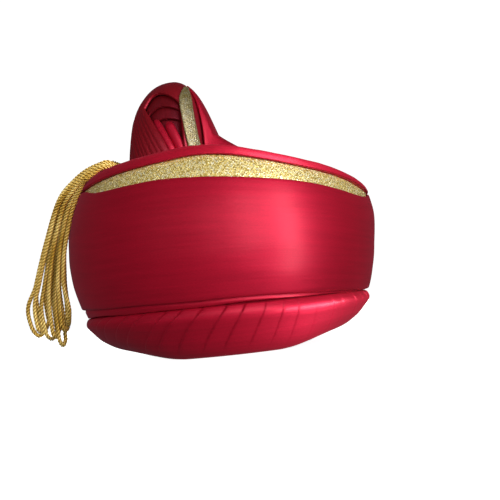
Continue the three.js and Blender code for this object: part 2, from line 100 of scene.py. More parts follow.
# The upper edge is rounded from this share of the base's height, over this share
BASE_EDGE, BASE_EDGE_SPAN = 0.955, 0.045
BASE_PLEATS, PLEAT_RELIEF, PLEAT_UNEVEN = 42, 0.9, 0.16
PLEAT_SLANT, PLEAT_FOCUS = math.radians(26), math.radians(28)
# One pleat: share of its width, share of its lift
PLEAT_PROFILE = np.array([
    (0, 0), (0.03, 0.55), (0.07, 0.92), (0.12, 1), (0.2, 0.97), (0.32, 0.86),
    (0.45, 0.7), (0.58, 0.54), (0.7, 0.38), (0.8, 0.24), (0.88, 0.12), (0.95, 0.04),
])
# The pleats are pulled nearly flat at the right of the front: degrees where that starts and where it ends
PULLED_SHARE, PULLED_FROM, PULLED_TO = 0.75, (-14, 17), (64, 92)

# Gold lace: its ends in degrees, how far it goes down behind the band, and its crimped cells
GOLD_FROM_DEG, GOLD_TO_DEG, GOLD_TUCK, GOLD_SUNK = -69, 84, 4, 0.25
CRIMP_LENGTH, CRIMP_ROW, CRIMP_RELIEF, CREST_CRIMP_RELIEF = 2.1, 1.3, 0.42, 0.4
# The mean radius that turns an angle into a length along the lace, and an offset that keeps its row
# numbers above 0
LACE_RADIUS, ROW_OFFSET = 127, 60

# Roll and crown
ROLL_SIZE, ROLL_SWELL, ROLL_PROUD = 7.6, 1.4, 0.3
# The roll's section: depth behind the drum's surface and height above its foot, as shares of its size
ROLL_SECTION = np.array([
    (0.03, -0.02), (0, 0.28), (0.05, 0.62), (0.22, 0.9), (0.52, 1),
    (0.86, 0.84), (1.02, 0.36), (0.94, -0.22), (0.5, -0.06),
])
CROWN_BEND, COLLAR_TUCK, COLLAR_MIDDLE, CROWN_SLACK = 5, 12, 8, 1.3
CROWN_FOLDS, CROWN_FINE_FOLDS, CROWN_RELIEF = 27, 61, 1.6
SKIRT_Z, SKIRT_EDGE = 146, 4
# The crown climbs the crest's right flank: degrees where that starts and where it ends
FLANK_FROM, FLANK_TO = (44, 60), (120, 190)
FLANK_FOOT_RISE, FLANK_EDGE_RISE, FLANK_FLARE, FLANK_TIP_TUCK = 26, 38, 5, 1.2

# Crest
CREST_X, CREST_Y = -31, -25
CREST_LEFT, CREST_RIGHT, CREST_HALF_DEPTH = 36, 32, 31
CREST_FOOT_Z, CREST_TOP_Z, CREST_POWER, CREST_RIGHT_POWER = 136, 219, 2.6, 2.2
CREST_LEAN, CREST_WALL, CREST_FOLD_WALL = 5, 2.5, 2
HOOD = dict(scale=1, rise=1, foot_left=-30, left=-51, right=-20.5, foot=152, top=208.5)
OUTER_FOLD = dict(scale=0.89, rise=0.945, foot_left=-32, left=-49, right=-18, foot=160, top=197)
INNER_FOLD = dict(scale=0.8, rise=0.9, foot_left=-33, left=-46, right=-18, foot=164, top=187)
# An arch closes above this share of its height, to a peak at this share of its width
ARCH_SPRING, ARCH_PEAK = 0.8, 0.4
# The width of the strip of faces along an opening's edge, as a share of the cloth round the crest
EDGE_STRIP = 0.0002
# The height over which the corners of an opening's edge are rounded off
EDGE_EASING = 12
CORE_SCALE, CORE_RISE = 0.74, 0.8
# Rounded folds that lean across the arches: top x and z, foot x, radius
FINGERS = [(-42, 187, -27, 3.5), (-32, 184, -20.5, 4.2)]
FINGER_FOOT_Z, FINGER_SINK, FINGER_BACK, FINGER_PROUD, FINGER_TIP = 146, 2, 1.2, 2.2, 0.14
# The crest's gold strip: height, middle, width
CREST_STRIP = np.array([
    (158, -13, 9.5), (167, -14.5, 9.5), (190, -16.8, 9.5), (202, -17.2, 9), (212, -16.2, 3),
])

# Tassel: inner and outer lines of the bundle (x and z of each), depth and its spread
ROUTE = np.array([
    (-73, 149, -73, 150, -48, 4),
    (-84, 151, -81, 156, -46, 10),
    (-96, 150, -96, 155, -42, 12),
    (-106.6, 146.2, -110, 147.6, -37, 12),
    (-115.2, 133, -124, 134, -32, 11),
    (-124.8, 103, -138, 103, -27, 10),
    (-127, 70, -151, 69, -24, 10),
    (-126.5, 48, -157.5, 50, -22, 10),
    (-127.5, 22, -153.5, 24, -21, 10),
])
# Cords of the tassel: place across the bundle where it leaves the head and lower down, shift to front or
# back, how far down they reach, and how far the end swings aside. The second cord in a row is the return
# of the same loop.
CORDS = [
    [(0.98, 0.96, -0.2, 0.95, 0.12), (0.80, 0.86, -0.4, 0.97, -0.12)],
    [(0.88, 0.80, -0.9, 0.96, 0.02), (0.66, 0.66, 0.5, 0.93, -0.04)],
    [(0.68, 0.62, -0.5, 0.98, 0.06), (0.46, 0.50, 0.8, 0.97, -0.06)],
    [(0.50, 0.46, -1.0, 0.98, 0), (0.34, 0.36, 0.5, 0.95, -0.05)],
    [(0.32, 0.30, -0.5, 1.0, 0), (0.14, 0.24, 0.3, 1.0, -0.03)],
    [(0.20, 0.16, -0.95, 0.95, 0.03), (0.04, 0.12, 0.6, 0.94, -0.06)],
    [(0.04, 0.02, -0.55, 0.92, 0.02), (-0.02, 0.02, 0.1, 0.90, 0.02)],
    [(0.0, -0.02, -1.15, 0.89, -0.06), (0.12, 0.06, 0.2, 0.94, 0.04)],
]
CORD_RADIUS, CORD_PITCH, PLY_SIDES, ROPE_STEPS = 1.75, 8.1, 6, 11
PLY_OFFSET, PLY_RADIUS = 0.52 * CORD_RADIUS, 0.52 * CORD_RADIUS
PLY_GIRTH = 2 * PLY_SIDES * math.sin(math.pi / PLY_SIDES) * PLY_RADIUS * MM
# The front cords lie lower where they pass over the roll
FRONT_CORD_DROP, CORD_SWAY = 6.5, 0.9
# A loop hangs below its two ends by a share of their distance, up to a limit
LOOP_SHARE, LOOP_LIMIT = 0.75, 4.5
# The head: its share of the route, and the thread that is wound round it
HEAD_SHARE, HEAD_RADIUS, HEAD_FLAT = 0.09, 4.2, 0.8
WOUND_STEP, WOUND_PITCH, WOUND_WIDE, WOUND_DEEP, WOUND_RADIUS = 0.25, 1.5, 4.6, 3.8, 0.75
# The shift of the thread's texture from one loop to the next, in metres
TONE_SHIFT = 0.4

chance = np.random.default_rng(7)


def smooth(x, low, high):
    t = np.clip((np.asarray(x, float) - low) / (high - low), 0, 1)
    return t * t * (3 - 2 * t)


def mix(a, b, t):
    return a + (b - a) * t


def unit(v):
    return v / np.maximum(np.linalg.norm(v, axis=-1, keepdims=True), 1e-9)


def through(xs, ys, x):
    """A smooth curve through the points (xs, ys), read at x."""
    xs, ys, x = (np.asarray(v, float) for v in (xs, ys, x))
    wide_x = np.concatenate([xs[:1], xs, xs[-1:]])
    wide_y = np.concatenate([ys[:1], ys, ys[-1:]])
    slope = (wide_y[2:] - wide_y[:-2]) / (wide_x[2:] - wide_x[:-2])
    i = np.clip(np.searchsorted(xs, x, side="right") - 1, 0, len(xs) - 2)
    span = xs[i + 1] - xs[i]
    t = np.clip((x - xs[i]) / span, 0, 1)
    between = mix(ys[i], ys[i + 1], t * t * (3 - 2 * t))
    return between + span * (t * (1 - t) ** 2 * slope[i] - t * t * (1 - t) * slope[i + 1])


def signed_deg(angle):
    return (np.degrees(angle) + 180) % 360 - 180


def band_top(angle):
    return through(UPPER_EDGES[:, 0], UPPER_EDGES[:, 1], signed_deg(angle))


def roll_foot(angle):
    return through(UPPER_EDGES[:, 0], UPPER_EDGES[:, 2], signed_deg(angle))


def band_bottom(angle):
    uneven = HEM_LONG * np.sin(4 * angle + 1) + HEM_SHORT * np.sin(9 * angle + 0.5)
    return FOLD_BOTTOM + FOLD_SHOWN - FOLD_SLANT * np.sin(angle) + uneven


def points(x, y, z):
    return np.stack(np.broadcast_arrays(x, y, z), -1).astype(float)


def drum(angle, z, inset):
    """Points on the drum's barrel, sunk by an inset."""
    aside = np.abs(signed_deg(angle - math.radians(SHOULDER_DEG)))
    swell = SHOULDER_SWELL * (1 - smooth(aside, 0, SHOULDER_SPREAD))
    swell = swell * smooth(z, SHOULDER_FROM_Z, SHOULDER_FULL_Z)
    bulge = (z - BELLY_Z) ** 2 / (2 * BARREL_ARC) + inset - swell
    return points((HALF_WIDTH - bulge) * np.sin(angle), -(HALF_DEPTH - bulge) * np.cos(angle), z)


def ring(count):
    """Angles all round, with the seam at the back."""
    return math.pi + np.arange(count) * TAU / count


def waves(terms, a, b):
    """A sum of waves over two coordinates: height, turns along each and phase."""
    return sum(size * np.sin(m * a + n * b + phase) for size, m, n, phase in terms)


def lattice(grid, wrap_rows=True, wrap_columns=True, caps=False):
    """Points, faces and cloth coordinates of a grid [row][column], measured along rows and columns."""
    rows, columns = grid.shape[:2]
    r, c = np.meshgrid(
        np.arange(rows if wrap_rows else rows - 1),
        np.arange(columns if wrap_columns else columns - 1),
        indexing="ij",
    )
    corners = [(r, c), (r, c + 1), (r + 1, c + 1), (r + 1, c)]
    faces = np.stack([(i % rows) * columns + j % columns for i, j in corners], -1).reshape(-1, 4)
    across = np.linalg.norm(np.roll(grid, -1, 1) - grid, axis=2).mean(0)
    along = np.linalg.norm(np.roll(grid, -1, 0) - grid, axis=2).mean(1)
    u = np.concatenate([[0], np.cumsum(across)]) * MM
    v = np.concatenate([[0], np.cumsum(along)]) * MM
    uv = np.stack([np.stack([u[j], v[i]], -1) for i, j in corners], 2).reshape(-1, 4, 2)
    faces = faces.tolist()
    uv = [list(map(tuple, f)) for f in uv]
    if caps:
        for column in (0, columns - 1):
            faces.append([i * columns + column for i in range(rows)])
            uv.append([(u[column], v[i]) for i in range(rows)])
    return grid.reshape(-1, 3), faces, uv


def strip(grid):
    """A grid whose columns don't run round, with both its ends closed."""
    return lattice(grid, wrap_columns=False, caps=True)


def quad_volume(places, faces):
    quads = np.array([f for f in faces if len(f) == 4])
    a, b, c, d = (places[quads[:, k]] for k in range(4))
    return np.einsum("ij,ij->i", a, np.cross(b, c) + np.cross(c, d)).sum()


def piece(name, shells, material, node):
    """One object from shells of points, faces and cloth coordinates, in place of a CAD node."""
    places, faces, uv, start = [], [], [], 0
    for shell_places, shell_faces, shell_uv in shells:
        middle = shell_places.mean(0)
        if quad_volume(shell_places - middle, shell_faces) < 0:
            shell_faces = [f[::-1] for f in shell_faces]
            shell_uv = [f[::-1] for f in shell_uv]
        places.append(shell_places * MM + AXIS)
        faces += [[i + start for i in f] for f in shell_faces]
        uv += shell_uv
        start += len(shell_places)
    mesh = bpy.data.meshes.new(name)
    mesh.from_pydata(np.concatenate(places).tolist(), [], faces)
    layer = mesh.uv_layers.new(name="cloth")
    layer.data.foreach_set("uv", np.array([p for f in uv for p in f], float).ravel())
    mesh.polygons.foreach_set("use_smooth", np.ones(len(mesh.polygons), bool))
    mesh.materials.append(material)
    mesh.update()
    made = bpy.data.objects.new(name, mesh)
    bpy.context.collection.objects.link(made)
    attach(made, "root")
    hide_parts(node)
    return made


def hem_section(wall, rows, back_rows, hem_rows=4):
    """A cloth wall's section as a loop with rounded edges.

    Gives the share of the height, the shift, the depth and the weight of the front's relief.
    """
    r = wall / 2
    up = np.linspace(0, 1, rows)
    down = np.linspace(1, 0, back_rows)
    turn = np.linspace(0, math.pi, hem_rows + 2)[1:-1]
    share = np.concatenate([up, np.ones(hem_rows), down, np.zeros(hem_rows)])
    shift = np.concatenate([r - wall * up, r * np.sin(turn) - r, r - wall * down, r - r * np.sin(turn)])
    depth = np.concatenate([0 * up, r - r * np.cos(turn), wall + 0 * down, r + r * np.cos(turn)])
    front = np.concatenate([np.sin(math.pi * up) ** 0.4, 0 * turn, 0 * down, 0 * turn])
    return (v[:, None] for v in (share, shift, depth, front))


# Materials


def shader(name):
    material = bpy.data.materials.new(name)
    material.use_nodes = True
    tree = material.node_tree
    return material, tree, tree.nodes["Principled BSDF"]


def node(tree, kind, **settings):
    made = tree.nodes.new(kind)
    for key, value in settings.items():
        if key in made.inputs:
            made.inputs[key].default_value = value
        else:
            setattr(made, key, value)
    return made


def ramp(tree, factor, *stops):
    made = node(tree, "ShaderNodeValToRGB")
    elements = made.color_ramp.elements
    while len(elements) < len(stops):
        elements.new(0.5)
    for element, (place, colour) in zip(elements, stops):
        element.position = place
        element.color = (*colour, 1)
    tree.links.new(factor, made.inputs["Fac"])
    return made.outputs["Color"]


def ranged(tree, value, low, high):
    """A value from 0 to 1, spread from low to high."""
    made = node(tree, "ShaderNodeMapRange")
    made.inputs["To Min"].default_value = low
    made.inputs["To Max"].default_value = high
    tree.links.new(value, made.inputs["Value"])
    return made.outputs[0]


def stretched(tree, scale):
    """Cloth coordinates, in metres, times a scale along and across the thread."""
    place = node(tree, "ShaderNodeUVMap", uv_map="cloth")
    made = node(tree, "ShaderNodeMapping")
    made.inputs["Scale"].default_value = scale
    tree.links.new(place.outputs["UV"], made.inputs["Vector"])
    return made.outputs["Vector"]


def noise(tree, scale, detail, rough):
    """Noise over the cloth, at a scale along and across the thread."""
    made = node(tree, "ShaderNodeTexNoise", Scale=1.0, Detail=detail, Roughness=rough)
    tree.links.new(stretched(tree, scale), made.inputs["Vector"])
    return made.outputs["Fac"]


def weighted(tree, *parts):
    """The sum of several values, each times its weight."""
    total = None
    for value, weight in parts:
        made = node(tree, "ShaderNodeMath", operation="MULTIPLY_ADD")
        made.inputs[1].default_value = weight
        made.inputs[2].default_value = 0
        tree.links.new(value, made.inputs[0])
        if total:
            tree.links.new(total, made.inputs[2])
        total = made.outputs[0]
    return total


def satin(name, dark, bright, roughness):
    """Satin with fine threads round the turban, a soft streaky sheen and slight changes of colour."""
    material, tree, bsdf = shader(name)
    link = tree.links.new
    threads = noise(tree, (160, 3200, 1), 2.0, 0.6)
    streaks = noise(tree, (14, 260, 1), 3.0, 0.6)
    patches = noise(tree, (22, 22, 1), 2.0, 0.5)
    grain = noise(tree, (700, 1100, 1), 2.0, 0.6)
    tone = weighted(tree, (streaks, 0.4), (patches, 0.2), (grain, 0.4))
    link(ramp(tree, tone, (0.35, dark), (0.65, bright)), bsdf.inputs["Base Color"])
    link(ranged(tree, threads, roughness - 0.06, roughness + 0.06), bsdf.inputs["Roughness"])
    reliefs = [(threads, 0.22, 0.00012), (grain, 0.4, 0.00012), (streaks, 0.35, 0.0005)]
    normal = None
    for height, strength, distance in reliefs:
        bump = node(tree, "ShaderNodeBump", Strength=strength, Distance=distance)
        link(height, bump.inputs["Height"])
        if normal:
            link(normal, bump.inputs["Normal"])
        normal = bump.outputs[0]
    link(normal, bsdf.inputs["Normal"])
    tangent = node(tree, "ShaderNodeTangent", direction_type="UV_MAP", uv_map="cloth")
    link(tangent.outputs[0], bsdf.inputs["Tangent"])
    bsdf.inputs["Metallic"].default_value = 0.58
    bsdf.inputs["Anisotropic"].default_value = 0.4
    bsdf.inputs["Anisotropic Rotation"].default_value = 0.25
    bsdf.inputs["Specular IOR Level"].default_value = 0.9
    bsdf.inputs["Specular Tint"].default_value = (1, 0.25, 0.6, 1)
    bsdf.inputs["Coat Weight"].default_value = 0.2
    bsdf.inputs["Coat Roughness"].default_value = 0.3
    bsdf.inputs["Sheen Weight"].default_value = 0.03
    bsdf.inputs["Sheen Tint"].default_value = (1, 0.25, 0.3, 1)
    return material


def lace(name, light):
    """Woven metal lace: cells of gold in random tones over a darker ground, the palest near-white ones a
    painted glint. The colours are scaled by light, which below 1 paints shade over the whole lace.
    """
    material, tree, bsdf = shader(name)
    link = tree.links.new

    def tone(*colour):
        return tuple(light * c for c in colour)

    cells = node(tree, "ShaderNodeTexVoronoi", Scale=1.0, Randomness=0.8)
    link(stretched(tree, (1200, 1500, 1)), cells.inputs["Vector"])
    tones = node(tree, "ShaderNodeSeparateColor")
    link(cells.outputs["Color"], tones.inputs["Color"])
    # Random cell tones of the weave; the near-white top stop is a painted glint on the metal threads.
    colour = ramp(
        tree,
        tones.outputs["Red"],
        (0.0, tone(0.36, 0.23, 0.03)),
        (0.4, tone(0.8, 0.59, 0.13)),
        (0.75, tone(0.97, 0.83, 0.38)),
        (1.0, tone(1, 0.95, 0.7)),
    )
    link(colour, bsdf.inputs["Base Color"])
    link(ranged(tree, tones.outputs["Green"], 0.2, 0.48), bsdf.inputs["Roughness"])
    facets = node(tree, "ShaderNodeBump", Strength=0.9, Distance=0.0005)
    link(tones.outputs["Blue"], facets.inputs["Height"])
    link(facets.outputs[0], bsdf.inputs["Normal"])
    bsdf.inputs["Metallic"].default_value = 0.55
    bsdf.inputs["Specular IOR Level"].default_value = 0.8
    bsdf.inputs["Coat Weight"].default_value = 0.7
    bsdf.inputs["Coat IOR"].default_value = 1.6
    bsdf.inputs["Coat Roughness"].default_value = 0.38
    return material


def twisted(name):
    """Gold thread of the cords, with a painted highlight on the outer side of each ply and painted shade in
    the grooves between.
    """
    material, tree, bsdf = shader(name)
    link = tree.links.new
    fibres = noise(tree, (1600, 2600, 1), 2.0, 0.6)
    around = node(tree, "ShaderNodeSeparateXYZ")
    link(stretched(tree, (1, TAU / PLY_GIRTH, 1)), around.inputs[0])
    # Painted light round each ply: 1 on its outer side as a painted highlight, -1 in the groove as painted
    # shade.
    ply_painted_light = node(tree, "ShaderNodeMath", operation="COSINE")
    link(around.outputs["Y"], ply_painted_light.inputs[0])
    share = node(tree, "ShaderNodeMapRange")
    share.inputs["From Min"].default_value = -1
    link(ply_painted_light.outputs[0], share.inputs["Value"])
    tones = noise(tree, (22, 0, 1), 1.0, 0.5)
    # The near-black lowest stop is painted shade in the grooves, the palest stop a painted highlight.
    colour = ramp(
        tree,
        weighted(tree, (share.outputs[0], 0.58), (fibres, 0.27), (tones, 0.5)),
        (0.56, (0.04, 0.017, 0.002)),
        (0.74, (0.30, 0.15, 0.012)),
        (0.88, (0.66, 0.38, 0.05)),
        (1.0, (1.0, 0.76, 0.26)),
    )
    link(colour, bsdf.inputs["Base Color"])
    bump = node(tree, "ShaderNodeBump", Strength=0.3, Distance=0.0002)
    link(fibres, bump.inputs["Height"])
    link(bump.outputs[0], bsdf.inputs["Normal"])
    bsdf.inputs["Roughness"].default_value = 0.36
    bsdf.inputs["Metallic"].default_value = 0.4
    bsdf.inputs["Specular Tint"].default_value = (1, 0.8, 0.4, 1)
    return material


RED = satin("red_satin", (0.38, 0.0032, 0.016), (0.52, 0.005, 0.025), 0.5)
# A darker copy of the red satin for the crest's hood: painted shade.
RED_SATIN_SHADED_CREST = satin("red_satin_crest_painted_shade", (0.22, 0.0045, 0.008), (0.32, 0.007, 0.012), 0.46)
# A still darker copy for the folds inside the hood's opening: painted shade in that recess.
RED_SATIN_SHADED_FOLDS = satin("red_satin_folds_painted_shade", (0.13, 0.003, 0.005), (0.20, 0.005, 0.008), 0.48)
LACE = lace("gold_lace", 1.0)
# A copy of the gold lace at a third of its brightness for the crest's strip: painted shade.
SHADED_CREST_LACE = lace("gold_lace_crest_painted_shade", 0.32)
CORD = twisted("gold_cord")


# The drum: band, fold, base


def outer_band():
    angle = ring(300)[None, :]
    share, shift, depth, front = hem_section(BAND_WALL, 40, 8)
    z = mix(band_bottom(angle), band_top(angle), share) + shift
    grid = drum(angle, z, depth - front * waves(BAND_WAVES, angle, z))
    return piece("satin_band", [lattice(grid)], RED, "outer_band")


def band_fold():
    angle = ring(260)[None, :]
    share, shift, depth, _ = hem_section(FOLD_WALL, 16, 4)
    low = FOLD_BOTTOM + HEM_LONG * np.sin(5 * angle + 0.6) + HEM_SHORT * np.sin(11 * angle)
    z = mix(low, band_bottom(angle) + FOLD_TUCK, share) + shift
    below = smooth(band_bottom(angle) - z, 0.3, 2.5)
    grid = drum(angle, z, FOLD_INSET + depth - FOLD_PROUD * below)
    return piece("turned_fold", [lattice(grid)], RED, "band_fold")


def rim_z(angle):
    return RIM_SIDE_RISE * smooth(np.abs(np.sin(angle)), math.sin(math.radians(RIM_FLAT_DEG)), 1)


def base_points(angle, t, outward):
    """Points on the base, with t 0 at the rim, 1 at the fold and more behind the band."""
    edge = HALF_DEPTH - (FOLD_BOTTOM - BELLY_Z) ** 2 / (2 * BARREL_ARC) - BASE_INSET
    low = np.clip(t, 0, 1)
    flare = np.sqrt(1 - (1 - low) ** 2)
    rounding = np.sqrt(1 - np.clip((low - BASE_EDGE) / BASE_EDGE_SPAN, 0, 1) ** 2)
    shoulder = BASE_SHOULDER * smooth(low, 0.5, 0.9) * rounding
    swell = BASE_BULGE * np.sin(math.pi * low**2.2) + shoulder + outward
    half_depth = mix(RIM_HALF_DEPTH, edge, flare) + swell
    half_width = mix(RIM_HALF_WIDTH, edge - HALF_DEPTH + HALF_WIDTH, flare) + swell
    z = mix(rim_z(angle), FOLD_BOTTOM, low)
    bowl = points(half_width * np.sin(angle), -half_depth * np.cos(angle), z)
    tucked = drum(angle, FOLD_BOTTOM + BASE_TUCK * (t - 1), BASE_INSET - outward)
    return np.where((t > 1)[..., None], tucked, bowl)


def pleated_base():
    steps, lifts = PLEAT_PROFILE.T
    start = np.arange(BASE_PLEATS) + PLEAT_UNEVEN * chance.uniform(-1, 1, BASE_PLEATS)
    width = np.diff(np.append(start, start[0] + BASE_PLEATS))
    turn = ((start[:, None] + steps * width[:, None]).ravel() * TAU / BASE_PLEATS)[None, :]
    deep = np.repeat(chance.uniform(0.75, 1.15, BASE_PLEATS), len(steps))[None, :]
    aside = signed_deg(turn)
    pulled = 1 - PULLED_SHARE * smooth(aside, *PULLED_FROM) * (1 - smooth(aside, *PULLED_TO))
    lift = np.tile(lifts, BASE_PLEATS)[None, :] * deep * pulled

    def leaning(t):
        return turn + PLEAT_SLANT * np.sin(PLEAT_FOCUS - turn) * (np.minimum(t, 1) - 0.5)

    edge = BASE_EDGE + BASE_EDGE_SPAN * np.sin(np.linspace(0, math.pi / 2, 7))
    up = np.concatenate([0.95 * np.linspace(0, 1, 28) ** 1.3, edge, [1.4, 2]])[:, None]
    down = np.array([2, 1.4, 1, 0.8, 0.55, 0.3, 0.12, 0.03, 0])[:, None]
    fade = smooth(up, 0.05, 0.35)
    outer = base_points(leaning(up), up + 0 * turn, PLEAT_RELIEF * lift * fade)
    inner = base_points(leaning(down), down + 0 * turn, -RIM_WALL + 0 * turn)
    grid = np.concatenate([outer, inner])
    return piece("pleated_bowl", [lattice(grid)], RED, "pleated_base")


# The gold border, the roll and the crown


def crimp(u, v):
    """Height of the lace's crimped cells at a place along and across it."""
    row = np.floor(v / CRIMP_ROW)
    along = u / CRIMP_LENGTH + 0.5 * (row % 2)
    cell = np.floor(along)
    # A fixed, scattered value from 0 to 1 for each cell
    sparkle = np.abs(np.sin(cell * 12.9898 + row * 78.233) * 43758.5453) % 1
    bead = np.sin(math.pi * (along - cell)) * np.sin(math.pi * (v / CRIMP_ROW - row))
    return np.clip(bead, 0, 1) ** 0.7 * (0.35 + 0.65 * sparkle)


def gold_strip():
    angle = np.radians(np.linspace(GOLD_FROM_DEG, GOLD_TO_DEG, 660))[None, :]
    share, shift, depth, _ = hem_section(GOLD_WALL, 44, 6, 3)
    z = mix(band_top(angle) - GOLD_TUCK, roll_foot(angle), share) + shift
    cells = crimp(LACE_RADIUS * angle, z - roll_foot(angle) + ROW_OFFSET)
    relief = CRIMP_RELIEF * (depth < 0.01) * cells
    grid = drum(angle, z, GOLD_INSET + depth - relief + GOLD_SUNK)
    return piece("gold_border", [strip(grid)], LACE, "gold_strip")


def rim_roll():
    angle = ring(440)[None, :]
    turn = (np.arange(30) * TAU / 30)[:, None]
    around = np.arange(-2, len(ROLL_SECTION) + 3)
    stops = around * TAU / len(ROLL_SECTION)
    wrapped = ROLL_SECTION[around % len(ROLL_SECTION)]
    depth = through(stops, wrapped[:, 0], turn)
    height = through(stops, wrapped[:, 1], turn)
    size = ROLL_SIZE - ROLL_SWELL * np.sin(angle)
    crease = waves(ROLL_WAVES, angle, turn) * np.clip(height, 0, 1)
    z = roll_foot(angle) + GAP + size * height
    grid = drum(angle, z, size * depth - ROLL_PROUD - crease * (0.5 - depth) * 2)
    grid[..., 2] += 0.5 * crease * height
    return piece("rolled_edge", [lattice(grid)], RED, "rim_roll")


def crest_share(z, power=CREST_POWER):
    h = np.clip((z - CREST_FOOT_Z) / (CREST_TOP_Z - CREST_FOOT_Z), 0, 1)
    return (1 - h**power) ** (1 / power)


def crest_half_width(z, to_right):
    right_half = CREST_RIGHT * crest_share(z, CREST_RIGHT_POWER)
    return np.where(to_right, right_half, CREST_LEFT * crest_share(z))


def crest_lean(z):
    return CREST_LEAN * ((z - CREST_FOOT_Z) / (CREST_TOP_Z - CREST_FOOT_Z)) ** 2


def crest_points(angle, z, outward, scale=1, rise=1):
    """Points on the crest's dome, or on a smaller dome in it."""
    level = CREST_FOOT_Z + (z - CREST_FOOT_Z) / rise
    half_width = crest_half_width(level, np.sin(angle) >= 0) * scale
    half_depth = CREST_HALF_DEPTH * crest_share(level) * scale
    x = CREST_X + crest_lean(z) + (half_width + outward) * np.sin(angle)
    return points(x, CREST_Y - (half_depth + outward) * np.cos(angle), z)


def crest_angle(x, z, scale=1, rise=1):
    """The angle round the crest of a place on its front."""
    aside = x - CREST_X - crest_lean(z)
    half = crest_half_width(CREST_FOOT_Z + (z - CREST_FOOT_Z) / rise, aside >= 0) * scale
    return np.arcsin(np.clip(aside / np.maximum(half, 1e-3), -0.98, 0.98))


def normals(grid, ring_columns):
    """Unit normals of a grid, outwards where columns run round and rows run up."""
    if ring_columns:
        across = np.roll(grid, -1, 1) - np.roll(grid, 1, 1)
    else:
        across = np.gradient(grid, axis=1)
    return unit(np.cross(across, np.gradient(grid, axis=0)))


def flank(angle):
    """How far up the crest the crown's edge climbs at each angle, from 0 to 1."""
    deg = np.degrees(angle) % 360
    return smooth(deg, *FLANK_FROM) * (1 - smooth(deg, *FLANK_TO))


def crown():
    angle = ring(288)[None, :]
    turn = np.linspace(0, math.pi / 2, 8)[:, None]
    collar = drum(angle, band_top(angle) - np.array([[COLLAR_TUCK], [COLLAR_MIDDLE]]), COLLAR_INSET)
    bend_z = roll_foot(angle) - GAP - CROWN_BEND * (1 - np.sin(turn))
    bend = drum(angle, bend_z, COLLAR_INSET + CROWN_BEND * (1 - np.cos(turn)))
    share = flank(angle)
    away = GAP + CROWN_WALL + CROWN_SLACK * (1 - share)

    def edge(up):
        foot_z = SKIRT_Z + FLANK_FOOT_RISE * share
        z = foot_z + (SKIRT_EDGE + FLANK_EDGE_RISE * share) * up
        flare = FLANK_FLARE * (1 - up) ** 2 - FLANK_TIP_TUCK * up**4
        return crest_points(angle, z, away + share * flare)

    t = np.linspace(0, 1, 32)[1:-1, None]
    start, foot = bend[-1][None], edge(np.zeros((1, 1)))
    slope = mix(start, foot, t[..., None])
    slope[..., 2] = mix(start[..., 2], foot[..., 2], 0.7 * t + 0.3 * t**3)
    wander = angle + 0.07 * np.sin(3 * angle + 1) + 0.04 * np.sin(7 * angle)
    folds = (0.5 + 0.5 * np.cos(CROWN_FOLDS * wander + 1.2 * t)) ** 1.6
    folds *= 0.75 + 0.35 * np.sin(5 * angle + 2)
    folds += 0.35 * (0.5 + 0.5 * np.cos(CROWN_FINE_FOLDS * wander - 2 * t))
    slope[..., 2] += CROWN_RELIEF * folds * np.sin(math.pi * t) ** 0.8
    outer = np.concatenate([collar, bend, slope, edge(np.linspace(0, 1, 14)[:, None])])
    inner = outer - CROWN_WALL * normals(outer, True)
    grid = np.concatenate([outer, inner[::-1]])
    return piece("crown_cloth", [lattice(grid)], RED, "crown")


# The crest


def window(z, scale, rise, foot_left, left, right, foot, top):
    """Angles on the dome of an arch's right and left edges at each height."""
    spring = mix(foot, top, ARCH_SPRING)
    peak = mix(left, right, ARCH_PEAK)
    t = np.clip((z - spring) / (top - spring), 0, 1)
    arch = 1 - np.sqrt(1 - t)
    low = np.clip((z - foot) / (spring - foot), 0, 1)
    left_x = np.where(z < spring, mix(foot_left, left, low), mix(left, peak, arch))
    right_x = np.where(z < spring, right, mix(right, peak, arch))
    middle = np.where(z < foot, (foot_left + right) / 2, peak)
    shut = (z <= foot) | (z >= top)
    left_x = np.where(shut, middle, left_x)
    right_x = np.where(shut, middle, right_x)
    return crest_angle(right_x, z, scale, rise), crest_angle(left_x, z, scale, rise)


def eased(edge, z):
    """An opening's edge with its corners rounded off, each place averaged with those near its height."""
    weight = np.exp(-(((z - z.T) / EDGE_EASING) ** 2))
    return weight @ edge / weight.sum(1, keepdims=True)


